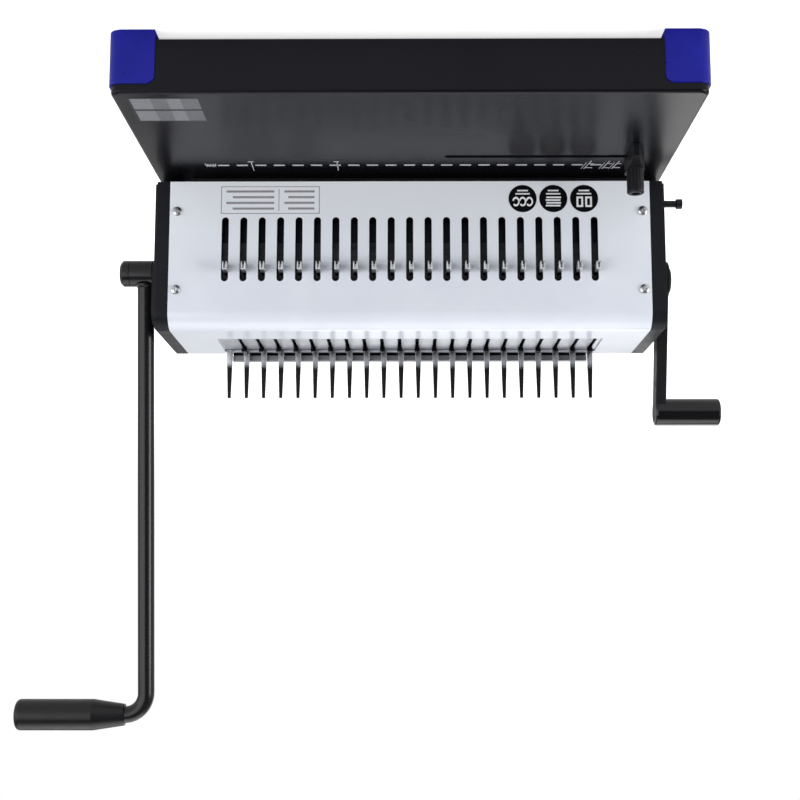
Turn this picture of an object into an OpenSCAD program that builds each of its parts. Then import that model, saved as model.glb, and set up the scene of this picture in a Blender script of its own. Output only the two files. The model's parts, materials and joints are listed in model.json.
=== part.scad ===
// Desk punch and comb binding machine: a hand lever punches a row of slots in
// loose sheets, a second lever opens a plastic comb so that the sheets can be
// threaded on it. Millimetres, +Z up, +Y to the rear, origin on the table under
// the middle of the base.

/* [Comb pattern] */
// Number of punched holes in a row
hole_count = 21; // [15:1:21]
// Distance from hole to hole along the row
hole_pitch = 14.2875; // [13:0.0125:14.5]
// Width of a punched hole along the row
hole_w = 8; // [6:0.5:8.5]
// Depth of a punched hole
hole_d = 3; // [2.5:0.25:3.5]

/* [Base] */
// Width of the base tray
base_w = 399; // [392:1:410]
// Depth of the base tray
base_d = 287; // [270:1:320]
// Height of the base top above the table
base_top = 44; // [42:1:50]
// Gap between the table and the skirt of the base
skirt_gap = 6.5; // [5:0.5:9]
// Sheet thickness of the base
base_sheet = 2; // [1.5:0.1:2.5]
// Radius of the upright corners of the base
base_corner_r = 8; // [5:1:12]
// Radius of the top edge of the base
base_edge_r = 2.5; // [1:0.5:4]

/* [Feet] */
// Length of a corner foot along each side
foot_size = 30; // [26:1:36]
// Height of a corner foot
foot_h = 37.5; // [30:0.5:39]
// How far a foot stands proud of the skirt
foot_proud = 1.4; // [0.4:0.1:1.8]
// Wall of a foot
foot_wall = 4; // [3:0.5:5]
// Radius of a foot's free upper corner
foot_round = 6; // [3:0.5:8]

/* [Housing] */
// Distance from the rear of the base to the front face of the housing
face_back = 117.5; // [115:0.5:126]
// Height of the paper throat
throat = 8; // [7:0.5:10]
// Height of the housing above the throat
housing_h = 116; // [114:1:122]
// Depth of the front cover's top
cover_d = 104; // [103:1:108]
// Depth of the rear cover's top flange
rear_d = 6; // [5:0.5:8]
// Width of the sheet covers
cover_w = 372.4; // [368:0.2:376]
// Sheet thickness of the covers
cover_sheet = 1.5; // [1.2:0.1:2]
// Outer radius of the front cover's bend
cover_bend = 15; // [9:0.5:18]
// Thickness of an end cover
end_t = 11.6; // [10:0.2:13]
// Wall of an end cover
end_wall = 2.5; // [2:0.1:3]
// How far the raised field stands out of the right end cover
boss_out = 5; // [3:0.2:7]
// How far the raised field stands out of the left end cover
lever_boss_out = 3.8; // [2:0.2:5]
// Radius of the outer edge of the end covers
end_edge_r = 1.5; // [0.5:0.25:2]

/* [Front slots] */
// Width of a front slot
slot_w = 5.5; // [4.6:0.1:6]
// Length of a front slot
slot_len = 51; // [44:1:52]
// Height of the slots' lower ends above the cover's lower edge
slot_low = 28.5; // [24:0.5:30]

/* [Frames] */
// Distance between the two side frames
frame_gap = 344; // [340:1:348]
// Thickness of a side frame
frame_t = 4; // [3:0.5:5]
// Thickness of a frame's flanges
flange_t = 3; // [2:0.5:4]

/* [Punch] */
// Distance from the housing's face to the row of punches
punch_back = 12; // [11.5:0.5:13]
// Height of the upper punch guide
guide_h = 12; // [10:0.5:14]
// Free length of the return springs
spring_len = 36; // [34:0.5:38]
// Height of the punch bar
punch_bar_h = 26; // [25:0.5:28]
// Depth of the punch bar
punch_bar_d = 16; // [15:0.5:17]
// Height of a punch's front tab
tab_h = 6.3; // [5:0.1:8]
// How far a punch's front tab stands out of the housing's face
tab_out = 12; // [8:0.5:14]
// Thickness of the die plate's land
die_t = 6; // [5:0.5:7]
// Wire diameter of the return springs
spring_wire = 1.6; // [1.2:0.1:1.8]
// Mean diameter of the return springs
spring_d = 10; // [9:0.25:11]
// Turns of a return spring
spring_turns = 8; // [6:1:9]

/* [Hand lever] */
// Height of the drive shaft above the base top
shaft_h = 73; // [72:0.5:76]
// Diameter of the drive shaft
shaft_d = 12; // [10:0.5:13]
// Tooth module of the punch drive
drive_module = 1.25; // [1.2:0.01:1.3]
// Teeth of a drive pinion
drive_teeth = 16; // [16:1:17]
// Swing of the hand lever in degrees
handle_swing = 90; // [60:1:92]
// Backward lean of the hand lever at rest in degrees
handle_lean = 8.5; // [4:0.5:14]
// Length of the hand lever from the shaft to the grip's axis
handle_len = 351; // [300:1:380]
// Outer diameter of the hand lever's tube
tube_d = 13.1; // [11:0.1:14]
// Wall of the hand lever's tube
tube_wall = 2; // [1.5:0.1:2.5]
// Radius of the tube's bend at its middle
tube_bend = 17; // [15:0.5:24]
// Diameter of the hub on the drive shaft
hub_d = 20.8; // [19:0.2:24]
// Length of the hub without its cap
hub_len = 18.5; // [17:0.5:24]
// Length of the hub cap
hub_cap_len = 7.5; // [6:0.5:10]
// Diameter of the hand grip
grip_d = 24.6; // [20:0.2:28]
// Diameter of the hand grip's neck
grip_neck_d = 17; // [15.5:0.5:20]
// Length of the hand grip
grip_len = 86.5; // [70:0.5:110]
// Length of the hand grip's tapered part
grip_taper = 25; // [15:0.5:35]

/* [Comb lever] */
// Distance from the housing's face to the comb lever's shaft
lever_back = 70; // [69:0.5:72]
// Height of the comb lever's shaft above the base top
lever_h = 71; // [69:0.5:73]
// Diameter of the comb lever's shaft
lever_shaft_d = 10; // [8:0.5:11]
// Tooth module of the comb drive
comb_module = 1.5; // [1.45:0.01:1.52]
// Teeth that a full sector gear would have
sector_teeth = 32; // [32:4:32]
// Swing of the comb lever in degrees
lever_swing = 72; // [50:1:74]
// Backward lean of the comb lever at rest in degrees
lever_lean = 15; // [8:0.5:20]
// Length of the comb lever from its shaft to its grip's axis
lever_len = 108.5; // [95:0.5:125]
// Thickness of the comb lever's arm
arm_t = 8.5; // [7:0.5:10]
// Width of the comb lever's arm
arm_w = 18; // [14:0.5:20]
// Radius of the arm's round lower end
arm_eye_r = 15.5; // [13:0.5:18]
// Diameter of the comb lever's grip
lever_grip_d = 22.4; // [21:0.2:26]
// Length of the comb lever's grip
lever_grip_len = 53.5; // [45:0.5:65]

/* [Comb opener] */
// Width of the opening in the housing's top
open_w = 308; // [306:1:312]
// Distance from the housing's face to the opening
open_front = 45; // [43:0.5:46]
// Distance from the housing's face to the row of fingers
finger_back = 99; // [98.5:0.1:99.5]
// Thickness of the fingers
finger_t = 2; // [1.5:0.1:2.2]
// Height of the fingers above the deck
finger_h = 41; // [30:0.5:45]
// Width of a finger at its root
finger_w = 5.2; // [4.6:0.1:5.6]
// Width of a finger at its tip
finger_tip_w = 2.6; // [1.5:0.1:3]
// Sheet thickness of the comb deck
deck_t = 2; // [1.5:0.1:2.5]
// Height of the rail behind the fingers
rail_h = 7.3; // [6:0.1:9]
// Length of the rail behind the fingers
rail_w = 296; // [280:1:306]
// Distance of a hook to the right of its finger's middle
hook_offset = 1.1; // [0.8:0.05:1.4]

/* [Edge guide] */
// Distance from the housing's face to the guide slot in the base
guide_front = 36; // [32:0.5:44]
// Distance from the base's left side to the guide's stud at rest
guide_left = 30; // [26:0.5:34]
// Travel of the edge guide
guide_travel = 140; // [100:1:145]
// Width of the guide slot in the base
guide_slot_w = 6.5; // [6:0.1:8]
// Diameter of the guide's knob
knob_d = 12.8; // [11:0.2:15]
// Height of the guide's knob
knob_h = 19; // [15:0.5:22]
// Height of the guide's foot
guide_foot_h = 10; // [8:0.5:12]
// Width of the guide's foot
guide_foot_w = 13.3; // [12.5:0.1:16]
// Length of the guide foot's nose ahead of the stud
guide_nose = 31; // [20:0.5:34]

/* [Depth stop] */
// Distance from the punches' middle to the depth stop at rest
stop_back = 4.5; // [4:0.25:5]
// Travel of the depth stop
stop_travel = 3.5; // [2:0.25:4]
// Diameter of the depth stop's pin
stop_pin_d = 5.5; // [4.5:0.1:6]
// Height of the depth stop's pin above the base top
stop_pin_h = 19.5; // [19:0.25:21]

/* [Chip tray] */
// Width of the chip tray
tray_w = 292; // [280:1:300]
// Height of the chip tray
tray_h = 23; // [20:0.5:24]
// Wall of the chip tray
tray_wall = 2; // [1.5:0.1:2.5]
// Travel of the chip tray
tray_travel = 110; // [80:1:112]

/* [Hidden] */
$fn = 48;

// Clearances: seat for pieces fixed together, running for shafts, sliding for guides, air elsewhere
seat = 0.02;
running = 0.05;
sliding = 0.15;
air = 0.35;
// Overlap of a cutting shape past the faces that it cuts
cut = 1;

// Heights and depths that the pieces share
face_y = base_d / 2 - face_back;
cover_bottom = base_top + throat;
cover_top = cover_bottom + housing_h;
deck_top = cover_top - cover_sheet;
seam_y = face_y + cover_d;
back_y = seam_y + rear_d;
half_cover = cover_w / 2;
end_face = half_cover + end_t;
boss_face = end_face + boss_out;
lever_boss_face = end_face + lever_boss_out;
frame_in = frame_gap / 2;
frame_out = frame_in + frame_t;
sheet_under = base_top - base_sheet;

// Row of holes, and of fingers half a pitch to either side
function row_x(i) = (i - (hole_count - 1) / 2) * hole_pitch;
function finger_x(i) = (i - hole_count / 2) * hole_pitch;
row_half = row_x(hole_count - 1) + hole_w / 2;

// Foot screws
foot_inset = foot_size / 2;
foot_x = -base_w / 2 + foot_inset;
foot_y = -base_d / 2 + foot_inset;
foot_pad_h = 14;
foot_column_r = 6.5;
foot_screw_r = 2;
foot_screw_head_r = 4;
foot_screw_head_h = 3;
foot_screw_seat = 5;
foot_screw_len = 20;

// Small screws of the covers
screw_r = 1.9;
screw_head_r = 3.6;
screw_head_h = 2.1;
screw_len = 6;
screw_recess = 1.1;
screw_cross = 0.9;
cover_screw_x = half_cover - 5.8;
cover_screw_low = 24;
cover_screw_high = 86;
end_screw_front = 12;
end_screw_rear = 90;
end_screw_high = 46;
end_screw_low = 20;
end_screw_spots = [[face_y + end_screw_front, cover_bottom + end_screw_high],
    [face_y + end_screw_rear, cover_bottom + end_screw_low]];
end_screw_sink = 2.4;
end_post_r = 5;
end_screw_head_r = 3.4;

// Raised field on an end cover round the shafts, from the housing's face and lower edge
boss_low = 54;
boss_y0 = 20;
boss_y1 = 97;
boss_r = 14;

// Frames stand behind the throat and are screwed to the base
throat_d = 32;
frame_foot_front = 42;
frame_foot_rear = 94;
frame_screw_inset = 6;
frame_foot_y = [face_y + frame_foot_front, face_y + frame_foot_rear];
frame_foot_screws = [frame_foot_y[0] + frame_screw_inset, frame_foot_y[1] - frame_screw_inset];
frame_foot_w = 10;
frame_foot_t = 4;
frame_screw_r = 2.5;
frame_screw_head_r = 4.5;
frame_screw_head_h = 3;
frame_screw_x = frame_out + frame_foot_w / 2;
base_boss_r = 5;
base_boss_h = 6;
tie_in = 18;
tie_h = 22;
tie_r = 5;
flange_low = cover_bottom + 5;
flange_high = cover_top - cover_bend - 1;

// Punch, die and their bar
punch_y = face_y + punch_back;
guide_top = cover_bottom + guide_h;
guide_depth = 16;
guide_y0 = punch_y - guide_depth / 2;
guide_y1 = punch_y + guide_depth / 2;
bar_bottom = guide_top + spring_len;
bar_top = bar_bottom + punch_bar_h;
bar_front = punch_y - punch_bar_d / 2 + 1;
bar_back = bar_front + punch_bar_d;
pin_rest = 1.5;
pin_tip = cover_bottom + pin_rest;
pin_head_w = hole_w + 2.5;
pin_head_h = 4;
tab_top = bar_top - 1.2;
tab_left = air - slot_w / 2;
tab_right = tab_left + slot_w / 2;
tab_over = 0.7;
tab_wall = 0.9;
tab_gap = 1.2;
retainer_t = 2.5;
rod_r = 3;
rod_x = row_half + 10;
rod_sunk = 8;
rod_above = 6;
bar_half = rod_x + 9;
die_flange_t = 4;
die_land_w = 2 * (row_half + 8);
die_land_d = 14;
die_flange_d = 20;

// Rings of a spring's turn, and sides of a ring
spring_rings = 8;
spring_sides = 6;

// Drive gear: the shaft lies behind the racks on the punch bar
drive_r = drive_module * drive_teeth / 2;
rack_body = 2.5;
rack_width = 10;
pinion_width = 13;
rack_x = row_half - 7;
drive_line = bar_back + rack_body + 1.25 * drive_module;
shaft_y = drive_line + drive_r;
shaft_z = base_top + shaft_h;
shaft_r = shaft_d / 2;
stroke = drive_r * handle_swing * PI / 180;
backlash = 0.3;
pressure_angle = 20;

// Hand lever
lever_gap = 0.7;
hub_r = hub_d / 2;
hub_x = boss_face + lever_gap;
tube_r = tube_d / 2;
tube_x = hub_x + tube_r;
tube_into_grip = 72;
grip_x = tube_x + tube_bend;
grip_end_r = 4;
bush_wall = 3;
bush_flange = 2;
bush_proud = 1;
shaft_proud = 2;

// Comb lever and its drive
lever_y = face_y + lever_back;
lever_z = base_top + lever_h;
lever_r = lever_shaft_d / 2;
sector_r = comb_module * sector_teeth / 2;
comb_travel = sector_r * lever_swing * PI / 180;
comb_line = lever_z + sector_r;
sector_in = 40;
sector_x = rack_x - sector_in;
sector_width = 10;
sector_hub_r = lever_r + 6;
arm_in = lever_boss_face + lever_gap;
arm_out = arm_in + arm_t;
lever_stud_r = 4;
lever_stud_len = lever_grip_len - arm_t - 8;
lever_cap_r = 10.5;
lever_cap_t = 2;
lever_cap_edge = 0.8;

// Comb opener: deck, fingers, hooks and their carriage
deck_under = deck_top - deck_t;
finger_y = face_y + finger_back;
deck_front = face_y + open_front - 4;
deck_back = finger_y - finger_t / 2;
open_back = finger_y + finger_t / 2 + air;
strip_h = 10.5;
hook_w = 4.2;
hook_shank_w = 2.2;
hook_t = 1.4;
hook_h = 3.8;
hook_nose_d = 2.5;
hook_back = deck_back - 4;
hook_shank_d = 6;
deck_slot_spare = 8;
hook_slot_w = hook_shank_w + 2 * air;
bar_gap = 2.5;
hook_bar_h = 8;
hook_bar_d = 14;
hook_bar_top = deck_under - bar_gap;
hook_bar_low = hook_bar_top - hook_bar_h;
hook_bar_back = deck_back - 0.5;
carriage_rail_w = 8;
carriage_groove = 4.3;
carriage_rail_low = hook_bar_low - 3;
carriage_rail_front = hook_bar_back - hook_bar_d - comb_travel - 6;
hook_bar_half = frame_in - carriage_rail_w + carriage_groove - air;
rack_margin = 7;
rail_top_h = 4.3;
rail_web_t = 2;

// Edge guide
guide_y = face_y - guide_front;
guide_x = guide_left - base_w / 2;
stud_r = 2.5;
stud_in_knob = 12;
clamp_w = 22;
clamp_t = 3;
knob_ribs = 16;
knob_rib_r = 0.8;
knob_rib_out = 0.2;
knob_hollow_r = 3.4;
knob_hollow = 4;
guide_foot_right = 5.7;
guide_foot_rear = 15.3;
guide_flare = 3;
guide_nose_w = 4.3;

// Depth stop
stop_y = punch_y + stop_back;
stop_bar_d = 8;
stop_pin_z = base_top + stop_pin_h;
stop_pin_r = stop_pin_d / 2;
stop_lug_t = 3;
stop_lug_half = stop_pin_r + 1.5;
stop_pin_y = guide_y1 + air + stop_lug_half;
stop_head_r = 4;
stop_head_t = 4.6;
stop_head_out = 13.4;
stop_head_x = end_face + stop_head_out;
stop_half = frame_in - 1;

// Chip tray under the die
tray_low = skirt_gap + 3.3;
tray_ahead = 16;
tray_front = punch_y - tray_ahead;
tray_back = base_d / 2;
tray_plate_t = 3;
tray_lip = 3;
runner_t = 2;
runner_ledge = 6;
tray_door_low = skirt_gap + 1;
tray_door_high = tray_low + tray_h + 2;

// Shapes that repeat

module box(x0, x1, y0, y1, z0, z1) {
    translate([x0, y0, z0]) cube([x1 - x0, y1 - y0, z1 - z0]);
}

// Outline in Y and Z, drawn out along X
module along_x(x0, x1) {
    translate([x0, 0, 0]) rotate([90, 0, 90]) linear_extrude(x1 - x0) children();
}

// Outline in X and Z, drawn out along Y
module along_y(y0, y1) {
    translate([0, y1, 0]) rotate([90, 0, 0]) linear_extrude(y1 - y0) children();
}

module rod_along_x(x0, x1, y, z, r) {
    translate([x0, y, z]) rotate([0, 90, 0]) cylinder(r = r, h = x1 - x0);
}

module rod_along_y(x, z, y0, y1, r) {
    translate([x, y1, z]) rotate([90, 0, 0]) cylinder(r = r, h = y1 - y0);
}

module rod_along_z(x, y, z0, z1, r) {
    translate([x, y, z0]) cylinder(r = r, h = z1 - z0);
}

// Slot with round ends along the second axis of the outline
module slot_outline(w, len) {
    translate([-w / 2, w / 2]) square([w, len - w]);
    translate([0, w / 2]) circle(d = w);
    translate([0, len - w / 2]) circle(d = w);
}

// Rectangle with all four corners round
module round_rect(w, d, r) {
    square([w - 2 * r, d], center = true);
    square([w, d - 2 * r], center = true);
    for (sx = [-1, 1], sy = [-1, 1])
        translate([sx * (w / 2 - r), sy * (d / 2 - r)]) circle(r = r);
}

// Rectangle whose two upper corners are round
module top_round_rect(w, h, r) {
    translate([-w / 2, 0]) square([w, h - r]);
    translate([-w / 2 + r, 0]) square([w - 2 * r, h]);
    for (s = [-1, 1]) translate([s * (w / 2 - r), h - r]) circle(r = r);
}

// Rectangle in Y and Z whose front upper corner is round
module housing_outline(y0, y1, z0, z1, r) {
    translate([y0, z0]) square([y1 - y0, z1 - z0 - r]);
    translate([y0 + r, z0]) square([y1 - y0 - r, z1 - z0]);
    translate([y0 + r, z1 - r]) circle(r = r);
}

// Closed block with upright corners of radius r and a top edge of radius e
module tray_block(w, d, z0, z1, r, e) {
    h = z1 - z0;
    translate([0, 0, z0]) {
        along_x(-w / 2 + r, w / 2 - r) top_round_rect(d, h, e);
        along_y(-d / 2 + r, d / 2 - r) top_round_rect(w, h, e);
        for (sx = [-1, 1], sy = [-1, 1])
            translate([sx * (w / 2 - r), sy * (d / 2 - r), 0])
                rotate_extrude() {
                    square([r, h - e]);
                    square([r - e, h]);
                    translate([r - e, h - e]) circle(r = e);
                }
    }
}

// Screw along -Y with a domed head and a cross recess, its seat at the origin
module cover_screw(len) {
    rotate([90, 0, 0]) {
        translate([0, 0, -len]) cylinder(r = screw_r, h = len);
        difference() {
            rotate_extrude() {
                intersection() {
                    translate([0, screw_head_h - 2 * screw_head_r]) circle(r = 2 * screw_head_r);
                    square([screw_head_r, screw_head_h]);
                }
            }
            for (turn = [0, 90])
                rotate(turn)
                    translate([-screw_head_r * 0.55, -screw_cross / 2, screw_head_h - screw_recess])
                        cube([screw_head_r * 1.1, screw_cross, screw_recess + cut]);
        }
    }
}

// Involute of an angle, in degrees
function involute(a) = tan(a) * 180 / PI - a;

// Half angle of a tooth at radius r, for a gear of pitch radius rp
function tooth_half(r, rp, teeth, play) = let (rb = rp * cos(pressure_angle))
    90 / teeth - play / rp * 45 / PI + involute(pressure_angle) - (r > rb ? involute(acos(rb / r)) : 0);

// Outline of the teeth from first to last, going round by the positive angle
function gear_points(m, teeth, first, last, play) =
    let (rp = m * teeth / 2, root = rp - 1.3 * m, tip = rp + 0.95 * m, steps = 4,
        low = max(root, rp * cos(pressure_angle)))
    [for (k = [first:last]) each concat(
        [root * unit(k * 360 / teeth - tooth_half(low, rp, teeth, play))],
        [for (s = [0:steps]) let (r = low + (tip - low) * s / steps)
            r * unit(k * 360 / teeth - tooth_half(r, rp, teeth, play))],
        [for (s = [steps:-1:0]) let (r = low + (tip - low) * s / steps)
            r * unit(k * 360 / teeth + tooth_half(r, rp, teeth, play))],
        [root * unit(k * 360 / teeth + tooth_half(low, rp, teeth, play))])];

function unit(a) = [cos(a), sin(a)];

// Outline of a rack along the second axis with its teeth towards the first, pitch line on it
module rack_outline(m, low, high, body, play) {
    step = PI * m;
    root = -1.25 * m;
    half_root = step / 4 - play / 4 + 1.25 * m * tan(pressure_angle);
    half_tip = step / 4 - play / 4 - 0.9 * m * tan(pressure_angle);
    translate([root - body, low]) square([body, high - low]);
    for (k = [ceil((low + half_root) / step - 0.5):floor((high - half_root) / step - 0.5)])
        translate([0, (k + 0.5) * step])
            polygon([[root, -half_root], [0.9 * m, -half_tip], [0.9 * m, half_tip], [root, half_root]]);
}

// One unbroken wire wound upwards, swept as rings of six sides
function coil_point(s, r, rise) = [r * cos(s * 360), r * sin(s * 360), s * rise];
module coil(r, wire, turns, h) {
    rise = (h - wire) / turns;
    count = turns * spring_rings;
    slope = atan(rise / (2 * PI * r));
    points = [for (i = [0:count], j = [0:spring_sides - 1])
        let (s = i / spring_rings, a = s * 360, b = j * 360 / spring_sides,
            out = wire / 2 * cos(b), up = wire / 2 * sin(b))
        coil_point(s, r, rise) + out * [cos(a), sin(a), 0]
            + up * [sin(a) * sin(slope), -cos(a) * sin(slope), cos(slope)]];
    sides = [for (i = [0:count - 1], j = [0:spring_sides - 1])
        let (a = i * spring_sides + j, b = i * spring_sides + (j + 1) % spring_sides,
            c = a + spring_sides, d = b + spring_sides)
        each [[a, c, b], [b, c, d]]];
    start = [for (j = [1:spring_sides - 2]) [0, j, j + 1]];
    last = count * spring_sides;
    finish = [for (j = [1:spring_sides - 2]) [last, last + j + 1, last + j]];
    translate([0, 0, wire / 2]) polyhedron(points, concat(sides, start, finish));
    gaps = [for (i = [0:count - spring_rings])
        norm(points[(i + spring_rings) * spring_sides] - points[i * spring_sides]) - wire];
    echo(spring_least_gap = min(gaps));
}

// Base and feet

// Space of one corner foot, at the front left
module foot_space(proud) {
    w = base_w + 2 * proud;
    d = base_d + 2 * proud;
    intersection() {
        tray_block(w, d, 0, base_top, base_corner_r + proud, base_edge_r);
        along_y(-d / 2 - cut, -base_d / 2 + foot_size) foot_side(-w / 2 - cut, -base_w / 2 + foot_size);
        along_x(-w / 2 - cut, -base_w / 2 + foot_size) foot_side(-d / 2 - cut, -base_d / 2 + foot_size);
    }
}

// Side view of a foot: a rectangle whose free upper corner is round
module foot_side(low, high) {
    translate([low, 0]) square([high - low, foot_h - foot_round]);
    translate([low, 0]) square([high - low - foot_round, foot_h]);
    translate([high - foot_round, foot_h - foot_round]) circle(r = foot_round);
}

module corner(sx, sy) {
    mirror([sx > 0 ? 1 : 0, 0, 0]) mirror([0, sy > 0 ? 1 : 0, 0]) children();
}

module foot(sx, sy) {
    color([0.13, 0.13, 0.55]) corner(sx, sy) difference() {
        union() {
            difference() {
                foot_space(foot_proud);
                box(-base_w / 2 + foot_wall, 0, -base_d / 2 + foot_wall, 0, foot_screw_seat + 3, base_top);
            }
            rod_along_z(foot_x, foot_y, 0, foot_pad_h, foot_column_r);
        }
        rod_along_z(foot_x, foot_y, -cut, foot_screw_seat, foot_screw_head_r + air);
        rod_along_z(foot_x, foot_y, 0, foot_pad_h + cut, foot_screw_r + seat);
    }
}

module foot_front_left() { foot(-1, -1); }
module foot_front_right() { foot(1, -1); }
module foot_rear_left() { foot(-1, 1); }
module foot_rear_right() { foot(1, 1); }

module foot_screws() {
    color("silver") for (sx = [-1, 1], sy = [-1, 1]) corner(sx, sy) {
        rod_along_z(foot_x, foot_y, foot_screw_seat - foot_screw_head_h, foot_screw_seat, foot_screw_head_r);
        rod_along_z(foot_x, foot_y, foot_screw_seat, foot_screw_seat + foot_screw_len, foot_screw_r);
    }
}

module base_shell() {
    inner_w = base_w - 2 * base_sheet;
    inner_d = base_d - 2 * base_sheet;
    color([0.1, 0.1, 0.11]) difference() {
        union() {
            difference() {
                tray_block(base_w, base_d, skirt_gap, base_top, base_corner_r, base_edge_r);
                translate([0, 0, skirt_gap - cut])
                    linear_extrude(sheet_under - skirt_gap + cut)
                        round_rect(inner_w, inner_d, base_corner_r - base_sheet);
                for (sx = [-1, 1], sy = [-1, 1]) corner(sx, sy) foot_space(0);
            }
            for (sx = [-1, 1], sy = [-1, 1])
                corner(sx, sy) rod_along_z(foot_x, foot_y, foot_pad_h, sheet_under + cut, foot_column_r);
            for (sx = [-1, 1], y = frame_foot_screws)
                rod_along_z(sx * frame_screw_x, y, sheet_under - base_boss_h, base_top - cut, base_boss_r);
        }
        for (sx = [-1, 1], sy = [-1, 1]) corner(sx, sy)
            rod_along_z(foot_x, foot_y, foot_pad_h - cut, foot_screw_seat + foot_screw_len + cut,
                foot_screw_r + seat);
        for (sx = [-1, 1], y = frame_foot_screws)
            rod_along_z(sx * frame_screw_x, y, sheet_under - base_boss_h - cut, base_top + cut,
                frame_screw_r + seat);
        box(-die_land_w / 2 - sliding, die_land_w / 2 + sliding, punch_y - die_land_d / 2 - sliding,
            punch_y + die_land_d / 2 + sliding, sheet_under - cut, base_top + cut);
        translate([guide_x - guide_slot_w / 2, guide_y, sheet_under - cut])
            linear_extrude(base_sheet + 2 * cut)
                rotate(-90) slot_outline(guide_slot_w, guide_travel + guide_slot_w);
        box(-tray_w / 2 - 1, tray_w / 2 + 1, base_d / 2 - base_sheet - cut, base_d / 2 + cut,
            tray_door_low, tray_door_high);
    }
}

// Covers

module front_cover() {
    color([0.85, 0.86, 0.9]) difference() {
        along_x(-half_cover, half_cover) difference() {
            housing_outline(face_y, seam_y, cover_bottom, cover_top, cover_bend);
            housing_outline(face_y + cover_sheet, seam_y + cut, cover_bottom - cut, deck_top,
                cover_bend - cover_sheet);
        }
        for (i = [0:hole_count - 1])
            translate([row_x(i), 0, cover_bottom + slot_low])
                along_y(face_y - cut, face_y + cover_sheet + cut) slot_outline(slot_w, slot_len);
        box(-open_w / 2, open_w / 2, face_y + open_front, open_back, deck_top - cut, cover_top + cut);
        for (sx = [-1, 1], z = [cover_screw_low, cover_screw_high])
            rod_along_y(sx * cover_screw_x, cover_bottom + z, face_y - cut, face_y + cover_sheet + cut,
                screw_r + seat);
    }
}

module rear_cover() {
    color([0.85, 0.86, 0.9]) difference() {
        union() {
            box(-half_cover, half_cover, back_y - cover_sheet, back_y, base_top, cover_top);
            box(-half_cover, half_cover, seam_y, back_y, deck_top, cover_top);
        }
        for (sx = [-1, 1], z = [cover_screw_low, cover_screw_high])
            rod_along_y(sx * cover_screw_x, cover_bottom + z, back_y - cover_sheet - cut, back_y + cut,
                screw_r + seat);
    }
}

module cover_screws() {
    color("gainsboro") for (sx = [-1, 1], z = [cover_screw_low, cover_screw_high])
        translate([sx * cover_screw_x, face_y, cover_bottom + z]) cover_screw(screw_len);
}

module rear_cover_screws() {
    color("gainsboro") for (sx = [-1, 1], z = [cover_screw_low, cover_screw_high])
        translate([sx * cover_screw_x, back_y, cover_bottom + z]) rotate(180) cover_screw(screw_len);
}

// Side view of an end cover, set in by a wall
module end_outline(inset) {
    housing_outline(face_y + inset, back_y - inset, cover_bottom + inset, cover_top - inset,
        max(cover_bend - inset, 1));
    translate([face_y + throat_d + inset, base_top + inset])
        square([back_y - face_y - throat_d - 2 * inset, throat + 2 * inset]);
}

// Outline of the raised field, set in by a wall
module boss_outline(inset) {
    y0 = face_y + boss_y0;
    y1 = face_y + boss_y1;
    z0 = cover_bottom + boss_low;
    z1 = cover_top - boss_r / 2;
    translate([(y0 + y1) / 2, (z0 + z1) / 2])
        round_rect(y1 - y0 - 2 * inset, z1 - z0 - 2 * inset, boss_r - inset);
}

// End cover as it stands on the right, out to the face of its raised field, without its shaft holes
module end_cover(field_face) {
    difference() {
        union() {
            along_x(half_cover, end_face - end_edge_r) end_outline(0);
            along_x(end_face - end_edge_r, end_face) end_outline(end_edge_r);
            along_x(end_face - end_wall, field_face - end_edge_r) boss_outline(0);
            along_x(field_face - end_edge_r, field_face) boss_outline(end_edge_r);
        }
        along_x(half_cover - cut, end_face - end_wall) end_outline(end_wall);
        along_x(half_cover, field_face - end_wall) boss_outline(end_wall);
    }
    for (spot = end_screw_spots)
        rod_along_x(frame_out, end_face - end_wall / 2, spot[0], spot[1], end_post_r);
}

module end_screw_holes() {
    for (spot = end_screw_spots) {
        rod_along_x(frame_in, boss_face, spot[0], spot[1], screw_r + seat);
        rod_along_x(end_face - end_screw_sink, end_face + cut, spot[0], spot[1], end_screw_head_r + air);
    }
}

module right_end_cover() {
    color([0.14, 0.14, 0.16]) difference() {
        end_cover(boss_face);
        end_screw_holes();
        rod_along_x(half_cover, boss_face + cut, shaft_y, shaft_z, shaft_r + air);
    }
}

module left_end_cover() {
    color([0.14, 0.14, 0.16]) mirror([1, 0, 0]) difference() {
        end_cover(lever_boss_face);
        end_screw_holes();
        rod_along_x(half_cover, lever_boss_face + cut, lever_y, lever_z, lever_r + air);
        stop_slot(half_cover, end_face + cut);
    }
}

module end_cover_screws() {
    color("dimgray") for (sx = [-1, 1], spot = end_screw_spots)
        mirror([sx < 0 ? 1 : 0, 0, 0]) {
            rod_along_x(frame_in + 1, end_face - end_screw_sink, spot[0], spot[1], screw_r);
            rod_along_x(end_face - end_screw_sink, end_face - air, spot[0], spot[1], end_screw_head_r);
        }
}

// Frames

module frame_outline() {
    housing_outline(face_y + cover_sheet, back_y - cover_sheet, cover_bottom, deck_top, cover_bend);
    translate([face_y + throat_d, base_top])
        square([back_y - cover_sheet - face_y - throat_d, throat + cut]);
}

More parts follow.
